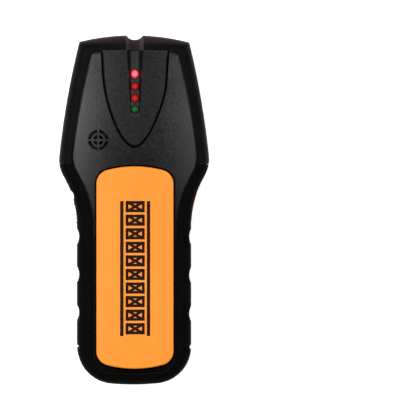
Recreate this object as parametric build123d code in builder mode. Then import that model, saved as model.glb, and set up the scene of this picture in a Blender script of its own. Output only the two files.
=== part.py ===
from build123d import *
import math
import os

os.makedirs("parts", exist_ok=True)

# Hand-held electronic stud finder, lying on its back. Millimetres, +Z up.
# +Z points out of the front, +Y towards the head, +X to the user's right.
# The origin is the middle of the rear face.

# ---- Plan outline, right half ----
HEAD_TOP_Y = 80.5          # top of the crowned upper edge
HEAD_CORNER_Y = 77.35      # sharp upper corners
HEAD_TOP_HALF = 25.35
HEAD_MID_Y = 50.2
HEAD_MID_HALF = 31.0
SHOULDER_Y = 20.4          # where the head turns in to the handle
SHOULDER_HALF = 34.9
SHOULDER_R = 15.0
NECK_Y = 4.0
NECK_R = 45.0
GRIP_HALF = 26.2
BOTTOM_Y = -80.4
BOTTOM_R = 17.0
BOTTOM_CROWN = 3.1         # drop of the bottom edge over half the handle's width

# How the outline's stretches follow when it is moved inwards
CORNER_SHARE = 0.9         # of the head's inset, at the upper corners
SHOULDER_SHARE = 0.93      # of the head's inset, at the shoulders
SHOULDER_RISE = 0.25       # of the head's inset, along Y
NECK_DROP = 0.1            # of the grip's inset, along Y
END_R_SHARE = 1.25         # of the grip's inset, taken off the bottom corner radius

# ---- Levels ----
PART_LINE_Z = 12.0         # where the two casing halves meet
BAND_LOW_Z = 1.6
BAND_HIGH_Z = 25.2
BAND_FRONT_R = 5.5         # large round on the band's front edge
BAND_REAR_R = 2.2
SHOULDER_Z = 19.5          # ledge of the casing under the band's front roll
CEILING_Z = 24.2           # underside of the front plate
PLATE_Z = 27.4             # crest of the crowned front plate
CROWN_R = 260.0
OPEN_Z = 30.0              # clear above everything, for shapes trimmed by the crown
REAR_SKIN = 2.0

# ---- Band and casing walls, measured in from the plan outline ----
BAND_SIDE = 2.6
WALL = 2.0
CAVITY_INSET = BAND_SIDE + WALL
PLATE_INSET = {"head": 6.0, "grip": 6.85, "top": 7.0, "bottom": 5.2}
PLATE_EDGE_R = 0.9
PLATE_CORNER_R = 1.6
PLATE_WALL = 1.8
BAND_SPLIT_Y = 21.1        # joint between head bumper and grip band
BAND_SPLIT_GAP = 0.3

# ---- Grip scallops ----
SCALLOP_YS = (-12.3, -30.0, -47.7)
SCALLOP_WIDTH = 7.4
SCALLOP_DEPTH = 1.05
SCALLOP_R = ((SCALLOP_WIDTH / 2) ** 2 + SCALLOP_DEPTH**2) / (2 * SCALLOP_DEPTH)
THUMB_X = -31.3            # centre of the thumb recess above the slider
THUMB_Y = 6.1
THUMB_R = 3.7
SLIT_Y = -63.1
SLIT_R = 1.15
SLIT_DEPTH = 0.9

# ---- Marking notch and lamp channel ----
NOTCH_HALF = 4.0
NOTCH_DEPTH = 2.25
NOTCH_R = (NOTCH_HALF**2 + NOTCH_DEPTH**2) / (2 * NOTCH_DEPTH)
CHANNEL_FLOOR_HALF = 1.95
CHANNEL_DRAFT = 0.32       # side widening for each millimetre of height
NOTCH_DRAFT = 0.5          # the same, where the channel runs out through the bumper
NOTCH_SKIN = 0.2           # how much deeper and wider it is there
CHANNEL_TOP_Y = 73.4
CHANNEL_END_Y = 43.0
CHANNEL_TOP_FLOOR_Z = 21.9
CHANNEL_END_FLOOR_Z = 27.9
HOUSING_SKIN = 1.2
OPENING_HALF = 8.0         # opening in the front plate that the channel housing passes
OPENING_LOW_Y = 37.0
OPENING_HIGH_Y = 74.9

# ---- Tongue ----
TONGUE_TOP_Y = 73.0
TONGUE_TIP_Y = 29.3
TONGUE_TOP_HALF = 14.9
TONGUE_MID_HALF = 12.5
TONGUE_MID_Y = 50.5
TONGUE_RISE = 0.55
TONGUE_GAP = 0.95
TONGUE_BEVEL = 0.45
TONGUE_POCKET_Z = 25.6

# ---- Lamps ----
LAMP_R = 2.1
LAMP_YS = (46.0, 51.1, 56.6, 62.4)
LAMP_NAMES = ("led_green", "led_red_low", "led_red_mid", "led_red_high")
LAMP_STAND = 1.2           # dome top above the channel floor
LAMP_LENGTH = 5.6
LAMP_FIT = 0.1
LEAD_R = 0.25
LEAD_PITCH = 2.54
HOLDER_HALF = 3.1
HOLDER_LOW_Y = 43.0
HOLDER_HIGH_Y = 65.4
HOLDER_WALL = 1.0
HOLDER_DROP = 2.3          # holder top below the channel floor
HOLDER_HOLLOW = 4.0
FLOOR_RIB_X = 1.1
FLOOR_RIB_R = 0.42

# ---- Orange panel ----
PANEL_HALF = 17.7
PANEL_TOP_Y = 20.0
PANEL_BOTTOM_Y = -72.65
PANEL_R = 6.5
PANEL_CROWN = 3.3
PANEL_GAP = 0.7
PANEL_RISE = 0.3
PANEL_EDGE_R = 0.8
PANEL_FLOOR_Z = 25.6
PRINT_RISE = 0.15
PRINT_MID_Y = -26.75
PRINT_LENGTH = 61.7
BOARD_LINE_X = 6.1
BOARD_LINE_WIDTH = 1.5
STUD_WIDTH = 8.7
STUD_HEIGHT = 5.1
STUD_LINE = 1.25
STUD_PITCH = 6.2
STUD_TOP_Y = 1.55
STUD_YS = [STUD_TOP_Y - STUD_PITCH * n for n in range(10)]
STUD_ANGLE = math.degrees(math.atan2(STUD_HEIGHT, STUD_WIDTH))
STUD_DIAGONAL = math.hypot(STUD_WIDTH, STUD_HEIGHT)

# ---- Sounder grille ----
GRILLE_X = -16.8
GRILLE_Y = 31.95
GRILLE_RINGS = ((4.75, 3.15), (2.4, 1.0))
GRILLE_SPOKE = 0.8
SPOKE_LENGTH = 12.0

# ---- Side controls ----
CONTROL_Z = 12.0
BUTTON_Y = 1.0
BUTTON_LENGTH = 15.0
BUTTON_HEIGHT = 7.0
BUTTON_TRAVEL = 0.8
BUTTON_PROUD = 0.5
SLIDER_Y = -1.5
SLIDER_WINDOW = 15.0
SLIDER_HEIGHT = 6.4
SLIDER_TRAVEL = 2.5
SLIDER_KNOB = 9.4
SLIDER_PROUD = 0.3
CONTROL_FIT = 0.3
FLANGE_OUTER_X = 21.4
FLANGE_INNER_X = 20.6
FLANGE_LIP = 1.0
BUTTON_EDGE_R = 0.5
WINDOW_START = 2.0         # how far inside the flange the side windows begin
WINDOW_REACH = 16.0
WINDOW_CORNER_R = 1.2
KNOB_CORNER_R = 1.0
GROOVE_R = 0.75
GROOVE_PITCH = 1.6
GROOVE_OUT = 0.4           # centre of each finger groove outside the knob
SLIDE_FIT = 0.1

# ---- Circuit board ----
BOARD_Z = 8.4
BOARD_THICK = 1.6
BOARD_TOP_Z = BOARD_Z + BOARD_THICK
BOARD_LOW_Y = -13.5
BOARD_HIGH_Y = 69.5
BOARD_RESTS = ((-24.4, 42.0), (24.4, 42.0), (0.0, -10.0))
BOARD_POST_R = 2.0
BOARD_NECK_HALF = 19.4     # narrowed beside the two side controls
BOARD_NECK_TOP_Y = 12.6
BOARD_SCREW_R = 1.0
CHIP_PITCH = 1.27
CHIP_PLACES = [(x, y) for x in (-2.5, 1.5) for y in (16, 19, 22, 25, 28)] + [
    (x, y) for x in (8, 11, 14) for y in (50, 53, 56)
]
CAPACITOR_PLACES = ((-12.0, 5.0), (12.0, 6.5))
SWITCH_X = 16.6
PUSH_SWITCH = (3.6, 6.0, 5.0)
PLUNGER_R = 1.5
PLUNGER_FIT = 0.08
SLIDE_SWITCH = (3.6, 11.0, 4.6)
SLIDE_SWITCH_SHIFT = 0.2
LEVER_SLOT = (2.6, 7.6, 2.2)
LEVER_SLOT_SHIFT = 1.0
LEVER_SIZE = 2.0
SMALL_HEAD_R = 2.0         # the two board screws
SMALL_HEAD_HEIGHT = 1.4
SMALL_SCREW_REACH = 4.5
SMALL_CROSS = (2.4, 0.5, 0.7)
CHIP_BODY = 1.6
CHIP_STAND = 0.2
CHIP_DOT_R = 0.4
CHIP_PIN = (1.3, 0.45, 0.5)
TRIMMER_PLACE = (-9.0, 15.0)
TRIMMER_SIZE = (6.6, 6.6, 4.8)
ROTOR_R = 2.2
ROTOR_HEIGHT = 0.7
ROTOR_SLOT = (3.4, 0.6, 0.3)
CRYSTAL_PLACE = (2.0, 8.0)
CRYSTAL_SIZE = (10.5, 4.0, 3.4)
CAPACITOR_R = 2.5
CAPACITOR_HEIGHT = 8.0

# ---- Sounder and sensors ----
BUZZER_R = 6.0
BUZZER_HEIGHT = 8.5
BUZZER_PORT_R = 1.2
GASKET_OUTER_R = 5.5
GASKET_INNER_R = 4.2
MESH_R = 5.6
MESH_THICK = 0.3
SENSOR_X = 17.4
SENSOR_Y = 40.0
SENSOR_SIZE = (9.0, 26.0, 0.4)
SENSOR_CORNER_R = 1.5
COIL_Y = 54.0
COIL_INNER_R = 6.0
COIL_OUTER_R = 10.5
COIL_TOP_Z = 7.8
COIL_FLANGE = 0.8
COIL_TUBE = 1.0
COIL_MARGIN = 0.5          # bare rim of the bobbin outside the winding

# ---- Battery bay ----
DOOR_HINGE_Y = -19.5
DOOR_HINGE_Z = 1.0
DOOR_NOSE_Y = DOOR_HINGE_Y + DOOR_HINGE_Z
DOOR_END_Y = -73.8
DOOR_HALF = 15.0
DOOR_GAP = 0.3
BAY_HALF = 13.7
BATTERY_HALF = 13.25
BATTERY_LOW_Y = -71.0
BATTERY_BODY = 46.4
BATTERY_THICK = 17.5
BATTERY_Z = 2.95
BATTERY_CLEARANCE = 0.2
BAY_WALL = 1.4
BAY_WALL_HEIGHT = 9.0
BAY_LOW_Y = -72.6
BAY_HIGH_Y = -20.8
BATTERY_CORNER_R = 2.0
BATTERY_EDGE_R = 0.6
TERMINAL_X = 6.35
TERMINAL_HEIGHT = 2.1
TERMINAL_STUD_R = 2.9
TERMINAL_CUP_R = 4.1
TERMINAL_BORE_R = 3.1
SNAP_WIDTH = 25.0
SNAP_HEIGHT = 12.6
SNAP_THICK = 2.6
SNAP_CORNER_R = 3.0
LEAD_START_X = 4.0
LEAD_END_X = 8.5
LEAD_RUN = 5.0
LEAD_BENDS = (2.4, 2.2)
LEAD_SIDE_Z = 2.0
LEAD_WIRE_R = 0.7
LEAD_ARCH = 5.5            # rise of each lead over the board's edge
RIB_YS = (-63.0, -37.0)
RIB_WIDTH = 1.2
RIB_SHORT = 1.0            # each rib stops short of the battery's sides
DOOR_GRIP_SLOT = (14.0, 1.2, 0.5)
DOOR_GRIP_START = 5.0
DOOR_GRIP_PITCH = 2.4
HOOK_XS = (-9.0, 9.0)
HOOK_WIDTH = 4.0
HOOK_ROOT = 1.6
HOOK_REACH = 2.4
HOOK_TOP = 1.5
HOOK_CLEAR = 0.35
FOAM_SIZE = (20.0, 34.0)
FOAM_CORNER_R = 1.5

# ---- Fasteners ----
SHELL_SCREWS = ((-19.5, 61.0), (19.5, 61.0), (-18.2, -60.0), (18.2, -60.0))
BOARD_SCREWS = ((-22.5, 20.0), (22.5, 20.0))
BOSS_R = 2.9
BOSS_TOP_Z = 18.4
SCREW_HEAD_Z = 5.0         # seat of the screw head in the rear casing
SCREW_TIP_Z = 17.4
SCREW_R = 1.3
SCREW_HEAD_R = 2.4
SCREW_HEAD_HEIGHT = 1.8
SCREW_CROSS = (3.0, 0.6, 0.9)
SCREW_FIT = 0.05
SCREW_TIP_ROOM = 0.3
REAR_BOSS_R = 3.5
REAR_BOSS_GAP = 0.05
SHANK_ROOM = 0.2
HEAD_ROOM = 0.3
POST_FLOOR = 0.8           # closed end below each board screw hole
REAR_CHAMFER = 0.8


def plan_outline(head=0.0, grip=0.0, top=0.0, bottom=0.0, corner_r=0.0):
    """Plan outline of the tool, moved inwards by separate amounts at its stretches."""
    top_y = HEAD_TOP_Y - top
    top_half = HEAD_TOP_HALF - CORNER_SHARE * head
    corner_y = top_y - (HEAD_TOP_Y - HEAD_CORNER_Y) * (top_half / HEAD_TOP_HALF) ** 2
    grip_half = GRIP_HALF - grip
    bottom_y = BOTTOM_Y + bottom
    shoulder = (SHOULDER_HALF - SHOULDER_SHARE * head, SHOULDER_Y + SHOULDER_RISE * head)
    low_y = bottom_y + BOTTOM_CROWN * (grip_half / GRIP_HALF) ** 2
    with BuildSketch() as outline:
        with BuildLine():
            TangentArc((0, top_y), (top_half, corner_y), tangent=(1, 0))
            ThreePointArc(
                (top_half, corner_y),
                (HEAD_MID_HALF - head, HEAD_MID_Y),
                shoulder,
            )
            Polyline(shoulder, (grip_half, NECK_Y - NECK_DROP * grip), (grip_half, low_y))
            TangentArc((0, bottom_y), (grip_half, low_y), tangent=(1, 0))
            mirror(about=Plane.YZ)
        make_face()
        shoulders = outline.vertices().filter_by_position(Axis.Y, SHOULDER_Y - 2, SHOULDER_Y + 4)
        fillet(shoulders, SHOULDER_R - head / 2)
        necks = outline.vertices().filter_by_position(Axis.Y, NECK_Y - 2, NECK_Y + 1)
        fillet(necks, NECK_R)
        ends = outline.vertices().filter_by_position(Axis.Y, low_y - 0.5, low_y + 0.5)
        fillet(ends, BOTTOM_R - END_R_SHARE * grip)
        if corner_r:
            corners = outline.vertices().filter_by_position(Axis.Y, corner_y - 0.5, corner_y + 0.5)
            fillet(corners, corner_r)
    return outline.sketch


def crown(rise):
    """Large cylinder along Y whose crest is the crowned front, raised by the given amount."""
    with BuildPart() as body:
        with BuildSketch(Plane.XZ):
            with Locations((0, PLATE_Z + rise - CROWN_R)):
                Circle(CROWN_R)
        extrude(amount=2 * HEAD_TOP_Y, both=True)
    return body.part


def channel_floor_z(y):
    """Height of the lamp channel's sloping floor."""
    share = (y - CHANNEL_TOP_Y) / (CHANNEL_END_Y - CHANNEL_TOP_Y)
    return CHANNEL_TOP_FLOOR_Z + share * (CHANNEL_END_FLOOR_Z - CHANNEL_TOP_FLOOR_Z)


def channel_wedge(skin, y_top, y_end, draft=CHANNEL_DRAFT):
    """Tapering channel, or with a skin the housing wall round it."""
    with BuildPart() as wedge:
        for y in (y_top, y_end):
            floor_z = channel_floor_z(y) - skin
            floor_half = CHANNEL_FLOOR_HALF + skin
            rim_half = floor_half + draft * (OPEN_Z - floor_z)
            with BuildSketch(Plane.XZ.offset(-y)):
                with BuildLine():
                    Polyline(
                        (-floor_half, floor_z),
                        (floor_half, floor_z),
                        (rim_half, OPEN_Z),
                        (-rim_half, OPEN_Z),
                        close=True,
                    )
                make_face()
        loft()
    return wedge.part


def tongue_outline(grow):
    """Parabolic tongue: straight across the top, round at the tip."""
    top_y = TONGUE_TOP_Y
    top_half = TONGUE_TOP_HALF + grow
    tip = (0, TONGUE_TIP_Y - grow)
    with BuildSketch() as outline:
        with BuildLine():
            Spline(
                (-top_half, top_y),
                (-TONGUE_MID_HALF - grow, TONGUE_MID_Y),
                tip,
                (TONGUE_MID_HALF + grow, TONGUE_MID_Y),
                (top_half, top_y),
                tangents=[(0.08, -1), (0.08, 1)],
            )
            Line((top_half, top_y), (-top_half, top_y))
        make_face()
    return outline.sketch


def panel_outline(grow):
    """Long rounded panel with gently crowned ends."""
    half = PANEL_HALF + grow
    with BuildSketch() as outline:
        with BuildLine():
            for end_y, side in ((PANEL_TOP_Y + grow, 1), (PANEL_BOTTOM_Y - grow, -1)):
                ThreePointArc(
                    (-half, end_y - side * PANEL_CROWN),
                    (0, end_y),
                    (half, end_y - side * PANEL_CROWN),
                )
            for x in (-half, half):
                Line(
                    (x, PANEL_TOP_Y + grow - PANEL_CROWN),
                    (x, PANEL_BOTTOM_Y - grow + PANEL_CROWN),
                )
        make_face()
        fillet(outline.vertices(), PANEL_R + grow)
    return outline.sketch


def save(name, part):
    """Labels a finished piece and writes it to its own file."""
    part.label = name
    export_step(part, f"parts/{name}.step")


outer_plan = plan_outline()
plate_plan = plan_outline(**PLATE_INSET, corner_r=PLATE_CORNER_R)
casing_plan = offset(outer_plan, amount=-BAND_SIDE, kind=Kind.INTERSECTION)
cavity_plan = offset(outer_plan, amount=-CAVITY_INSET, kind=Kind.INTERSECTION)
plate_cavity_inset = {stretch: inset + PLATE_WALL for stretch, inset in PLATE_INSET.items()}
plate_cavity_plan = plan_outline(**plate_cavity_inset)

# ---- Tools that several pieces share ----

with BuildPart() as button_window:
    with BuildSketch(Plane.YZ.offset(FLANGE_OUTER_X - WINDOW_START)):
        with Locations((BUTTON_Y, CONTROL_Z)):
            SlotOverall(BUTTON_LENGTH + 2 * CONTROL_FIT, BUTTON_HEIGHT + 2 * CONTROL_FIT)
    extrude(amount=WINDOW_REACH)

with BuildPart() as slider_window:
    with BuildSketch(Plane.YZ.offset(-FLANGE_OUTER_X + WINDOW_START)):
        with Locations((SLIDER_Y, CONTROL_Z)):
            RectangleRounded(SLIDER_WINDOW, SLIDER_HEIGHT + 2 * CONTROL_FIT, WINDOW_CORNER_R)
    extrude(amount=-WINDOW_REACH)

with BuildPart() as casing_core:
    with BuildSketch():
        add(casing_plan)
    extrude(amount=SHOULDER_Z)
    with BuildSketch(Plane.XY.offset(SHOULDER_Z)):
        add(plate_plan)
    extrude(amount=OPEN_Z - SHOULDER_Z)

# ---- Band: head bumper and grip ----

with BuildPart() as band:
    with BuildSketch(Plane.XY.offset(BAND_LOW_Z)):
        add(outer_plan)
    extrude(amount=BAND_HIGH_Z - BAND_LOW_Z)
    fillet(band.faces().sort_by(Axis.Z)[-1].edges(), BAND_FRONT_R)
    fillet(band.faces().sort_by(Axis.Z)[0].edges(), BAND_REAR_R)
    add(casing_core.part, mode=Mode.SUBTRACT)

with BuildPart() as head_bumper:
    add(band.part)
    split(bisect_by=Plane.XZ.offset(-BAND_SPLIT_Y - BAND_SPLIT_GAP / 2), keep=Keep.BOTTOM)
    with BuildSketch():
        with Locations((0, HEAD_TOP_Y - NOTCH_DEPTH + NOTCH_R)):
            Circle(NOTCH_R)
    extrude(amount=BAND_HIGH_Z, mode=Mode.SUBTRACT)
    notch_groove = channel_wedge(NOTCH_SKIN, HEAD_TOP_Y + 3, CHANNEL_TOP_Y - 2, NOTCH_DRAFT)
    add(notch_groove, mode=Mode.SUBTRACT)
save("head_bumper", head_bumper.part)

with BuildPart() as grip_band:
    add(band.part)
    split(bisect_by=Plane.XZ.offset(-BAND_SPLIT_Y + BAND_SPLIT_GAP / 2), keep=Keep.TOP)
    for side in (-1, 1):
        with BuildSketch():
            for y in SCALLOP_YS:
                with Locations((side * (GRIP_HALF - SCALLOP_DEPTH + SCALLOP_R), y)):
                    Circle(SCALLOP_R)
            with Locations((side * (GRIP_HALF - SLIT_DEPTH + SLIT_R), SLIT_Y)):
                Circle(SLIT_R)
        extrude(amount=BAND_HIGH_Z, mode=Mode.SUBTRACT)
    with BuildSketch():
        with Locations((THUMB_X, THUMB_Y)):
            Circle(THUMB_R)
    extrude(amount=BAND_HIGH_Z, mode=Mode.SUBTRACT)
    add(button_window.part, mode=Mode.SUBTRACT)
    add(slider_window.part, mode=Mode.SUBTRACT)
save("grip_band", grip_band.part)

# ---- Front casing ----

with BuildPart() as front_shell:
    with BuildSketch(Plane.XY.offset(PART_LINE_Z)):
        add(casing_plan)
    extrude(amount=SHOULDER_Z - PART_LINE_Z)
    with BuildSketch(Plane.XY.offset(SHOULDER_Z)):
        add(plate_plan)
    extrude(amount=OPEN_Z - SHOULDER_Z)
    add(crown(0), mode=Mode.INTERSECT)
    fillet(front_shell.faces().sort_by(Axis.Z)[-1].edges(), PLATE_EDGE_R)
    with BuildSketch(Plane.XY.offset(PART_LINE_Z)):
        add(cavity_plan)
    extrude(amount=SHOULDER_Z - WALL - PART_LINE_Z, mode=Mode.SUBTRACT)
    with BuildSketch(Plane.XY.offset(PART_LINE_Z)):
        add(plate_cavity_plan)
    extrude(amount=CEILING_Z - PART_LINE_Z, mode=Mode.SUBTRACT)
    # Screw bosses, with pilot holes
    with BuildSketch(Plane.XY.offset(PART_LINE_Z)):
        with Locations(*SHELL_SCREWS):
            Circle(BOSS_R)
    extrude(amount=BOSS_TOP_Z - PART_LINE_Z)
    with BuildSketch(Plane.XY.offset(PART_LINE_Z)):
        with Locations(*SHELL_SCREWS):
            Circle(SCREW_R + SCREW_FIT)
    extrude(amount=SCREW_TIP_Z + SCREW_TIP_ROOM - PART_LINE_Z, mode=Mode.SUBTRACT)
    # Ribs that hold the battery down
    with BuildSketch(Plane.XY.offset(BATTERY_Z + BATTERY_THICK + BATTERY_CLEARANCE)):
        with Locations(*[(0, y) for y in RIB_YS]):
            Rectangle(2 * (BATTERY_HALF - RIB_SHORT), RIB_WIDTH)
    extrude(amount=CEILING_Z - BATTERY_Z - BATTERY_THICK - BATTERY_CLEARANCE)
    # Recess for the orange panel
    with BuildSketch(Plane.XY.offset(PANEL_FLOOR_Z)):
        add(panel_outline(PANEL_GAP))
    extrude(amount=OPEN_Z - PANEL_FLOOR_Z, mode=Mode.SUBTRACT)
    # Pocket and opening for the tongue
    with BuildSketch(Plane.XY.offset(TONGUE_POCKET_Z)):
        add(tongue_outline(TONGUE_GAP))
        with Locations((0, TONGUE_TOP_Y + 1)):
            Rectangle(2 * (TONGUE_TOP_HALF + TONGUE_GAP), 4)
    extrude(amount=OPEN_Z - TONGUE_POCKET_Z, mode=Mode.SUBTRACT)
    with BuildSketch(Plane.XY.offset(SHOULDER_Z)):
        with Locations((0, (OPENING_LOW_Y + OPENING_HIGH_Y) / 2)):
            Rectangle(2 * OPENING_HALF, OPENING_HIGH_Y - OPENING_LOW_Y)
    extrude(amount=PLATE_Z - SHOULDER_Z, mode=Mode.SUBTRACT)
    # Sounder grille
    with BuildSketch(Plane.XY.offset(CEILING_Z - 1)) as grille:
        with Locations((GRILLE_X, GRILLE_Y)):
            for outer_r, inner_r in GRILLE_RINGS:
                Circle(outer_r)
                Circle(inner_r, mode=Mode.SUBTRACT)
            Rectangle(GRILLE_SPOKE, SPOKE_LENGTH, mode=Mode.SUBTRACT)
            Rectangle(SPOKE_LENGTH, GRILLE_SPOKE, mode=Mode.SUBTRACT)
    extrude(amount=OPEN_Z - CEILING_Z, mode=Mode.SUBTRACT)
    add(button_window.part, mode=Mode.SUBTRACT)
    add(slider_window.part, mode=Mode.SUBTRACT)
save("front_shell", front_shell.part)

# ---- Rear casing ----

with BuildPart() as rear_shell:
    with BuildSketch():
        add(casing_plan)
    extrude(amount=PART_LINE_Z)
    chamfer(rear_shell.faces().sort_by(Axis.Z)[0].edges(), REAR_CHAMFER)
    with BuildSketch(Plane.XY.offset(REAR_SKIN)):
        add(cavity_plan)
    extrude(amount=PART_LINE_Z, mode=Mode.SUBTRACT)
    # Battery bay walls
    with BuildSketch(Plane.XY.offset(REAR_SKIN)):
        with Locations((0, (BAY_LOW_Y - BAY_WALL + BAY_HIGH_Y) / 2)):
            Rectangle(2 * (BAY_HALF + BAY_WALL), BAY_HIGH_Y - BAY_LOW_Y + BAY_WALL)
    extrude(amount=BAY_WALL_HEIGHT)
    # Door opening: a rebate for the door, and a smaller hole through for the battery
    with BuildSketch():
        with Locations((0, (DOOR_NOSE_Y + DOOR_END_Y) / 2)):
            Rectangle(2 * DOOR_HALF + 2 * DOOR_GAP, DOOR_NOSE_Y - DOOR_END_Y + 2 * DOOR_GAP)
    extrude(amount=REAR_SKIN + 0.1, mode=Mode.SUBTRACT)
    with BuildSketch():
        with Locations((0, (BAY_LOW_Y + BAY_HIGH_Y) / 2)):
            Rectangle(2 * BAY_HALF, BAY_HIGH_Y - BAY_LOW_Y)
    extrude(amount=PART_LINE_Z, mode=Mode.SUBTRACT)
    # Screw bosses with deep head recesses
    with BuildSketch(Plane.XY.offset(REAR_SKIN)):
        with Locations(*SHELL_SCREWS):
            Circle(REAR_BOSS_R)
    extrude(amount=PART_LINE_Z - REAR_SKIN - REAR_BOSS_GAP)
    with Locations(*[Location((x, y, 0), (180, 0, 0)) for x, y in SHELL_SCREWS]):
        CounterBoreHole(
            SCREW_R + SHANK_ROOM,
            SCREW_HEAD_R + HEAD_ROOM,
            SCREW_HEAD_Z,
            depth=PART_LINE_Z + 1,
        )
    # Posts that carry the circuit board
    with BuildSketch(Plane.XY.offset(REAR_SKIN)):
        with Locations(*BOARD_SCREWS, *BOARD_RESTS):
            Circle(BOARD_POST_R)
    extrude(amount=BOARD_Z - REAR_SKIN)
    with BuildSketch(Plane.XY.offset(REAR_SKIN + POST_FLOOR)):
        with Locations(*BOARD_SCREWS):
            Circle(BOARD_SCREW_R + SCREW_FIT)
    extrude(amount=BOARD_Z, mode=Mode.SUBTRACT)
    add(button_window.part, mode=Mode.SUBTRACT)
    add(slider_window.part, mode=Mode.SUBTRACT)
save("rear_shell", rear_shell.part)

# ---- Tongue with the lamp channel ----

with BuildPart() as tongue_housing:
    add(channel_wedge(HOUSING_SKIN, TONGUE_TOP_Y, CHANNEL_END_Y - 4))
    with BuildSketch(Plane.XY.offset(TONGUE_POCKET_Z)):
        Rectangle(100, 200)
    extrude(amount=10, mode=Mode.SUBTRACT)

with BuildPart() as sight_tongue:
    with BuildSketch(Plane.XY.offset(TONGUE_POCKET_Z)):
        add(tongue_outline(0))
    extrude(amount=OPEN_Z - TONGUE_POCKET_Z)
    add(crown(TONGUE_RISE), mode=Mode.INTERSECT)
    chamfer(sight_tongue.faces().sort_by(Axis.Z)[-1].edges(), TONGUE_BEVEL)
    add(tongue_housing.part)
    add(channel_wedge(0, HEAD_TOP_Y, CHANNEL_END_Y), mode=Mode.SUBTRACT)
    # Two fine ribs along the channel's floor
    for x in (-FLOOR_RIB_X, FLOOR_RIB_X):
        with BuildSketch(Plane.XZ.offset(-TONGUE_TOP_Y)) as rib_foot:
            with Locations((x, channel_floor_z(TONGUE_TOP_Y))):
                Circle(FLOOR_RIB_R)
        rib_path = Line(
            (x, TONGUE_TOP_Y, channel_floor_z(TONGUE_TOP_Y)),
            (x, CHANNEL_END_Y + 5, channel_floor_z(CHANNEL_END_Y + 5)),
            mode=Mode.PRIVATE,
        )
        sweep(sections=rib_foot.sketch, path=rib_path)
    with BuildSketch(Plane.XY.offset(SHOULDER_Z - 2)):
        with Locations(*[(0, y) for y in LAMP_YS]):
            Circle(LAMP_R + LAMP_FIT)
    extrude(amount=OPEN_Z - SHOULDER_Z + 2, mode=Mode.SUBTRACT)
save("sight_tongue", sight_tongue.part)

# ---- Lamps and their holder ----

for lamp_name, lamp_y in zip(LAMP_NAMES, LAMP_YS):
    top_z = channel_floor_z(lamp_y) + LAMP_STAND
    foot_z = top_z - LAMP_LENGTH
    with BuildPart() as lamp:
        with BuildSketch(Plane.XY.offset(foot_z)):
            with Locations((0, lamp_y)):
                Circle(LAMP_R)
        extrude(amount=LAMP_LENGTH)
        fillet(lamp.faces().sort_by(Axis.Z)[-1].edges(), LAMP_R - 0.15)
        with BuildSketch(Plane.XY.offset(BOARD_TOP_Z)):
            with Locations((-LEAD_PITCH / 2, lamp_y), (LEAD_PITCH / 2, lamp_y)):
                Circle(LEAD_R)
        extrude(amount=foot_z - BOARD_TOP_Z)
    save(lamp_name, lamp.part)

with BuildPart() as led_holder:
    with BuildSketch(Plane.YZ.offset(-HOLDER_HALF)):
        with BuildLine():
            Polyline(
                (HOLDER_LOW_Y, BOARD_TOP_Z),
                (HOLDER_HIGH_Y, BOARD_TOP_Z),
                (HOLDER_HIGH_Y, channel_floor_z(HOLDER_HIGH_Y) - HOLDER_DROP),
                (HOLDER_LOW_Y, channel_floor_z(HOLDER_LOW_Y) - HOLDER_DROP),
                close=True,
            )
        make_face()
    extrude(amount=2 * HOLDER_HALF)
    with BuildSketch(Plane.XY.offset(BOARD_TOP_Z)):
        with Locations((0, (HOLDER_LOW_Y + HOLDER_HIGH_Y) / 2)):
            Rectangle(
                2 * (HOLDER_HALF - HOLDER_WALL),
                HOLDER_HIGH_Y - HOLDER_LOW_Y - 2 * HOLDER_WALL,
            )
    extrude(amount=HOLDER_HOLLOW, mode=Mode.SUBTRACT)
    with BuildSketch(Plane.XY.offset(BOARD_TOP_Z)):
        with Locations(*[(0, y) for y in LAMP_YS]):
            Circle(LAMP_R + LAMP_FIT)
    extrude(amount=OPEN_Z - BOARD_TOP_Z, mode=Mode.SUBTRACT)
save("led_holder", led_holder.part)

# ---- Orange panel and its print ----

with BuildPart() as face_panel:
    with BuildSketch(Plane.XY.offset(PANEL_FLOOR_Z)):
        add(panel_outline(0))
    extrude(amount=OPEN_Z - PANEL_FLOOR_Z)
    add(crown(PANEL_RISE), mode=Mode.INTERSECT)
    fillet(face_panel.faces().sort_by(Axis.Z)[-1].edges(), PANEL_EDGE_R)
save("face_panel", face_panel.part)

with BuildPart() as panel_graphic:
    with BuildSketch(Plane.XY.offset(PANEL_FLOOR_Z)):
        # The two boards of a wall, seen from above
        with Locations(*[(side * BOARD_LINE_X, PRINT_MID_Y) for side in (-1, 1)]):
            Rectangle(BOARD_LINE_WIDTH, PRINT_LENGTH)
        # Timber studs in section: boxes with crossed diagonals
        with Locations(*[(0, y) for y in STUD_YS]):
            Rectangle(STUD_WIDTH, STUD_HEIGHT)
            Rectangle(STUD_WIDTH - 2 * STUD_LINE, STUD_HEIGHT - 2 * STUD_LINE, mode=Mode.SUBTRACT)
        for tilt in (-1, 1):
            with Locations(*[Location((0, y, 0), (0, 0, tilt * STUD_ANGLE)) for y in STUD_YS]):
                Rectangle(STUD_DIAGONAL - STUD_LINE, STUD_LINE)
    extrude(amount=OPEN_Z - PANEL_FLOOR_Z)
    add(crown(PANEL_RISE + PRINT_RISE), mode=Mode.INTERSECT)
    add(crown(PANEL_RISE), mode=Mode.SUBTRACT)
save("panel_graphic", panel_graphic.part)

# ---- Side controls ----

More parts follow.
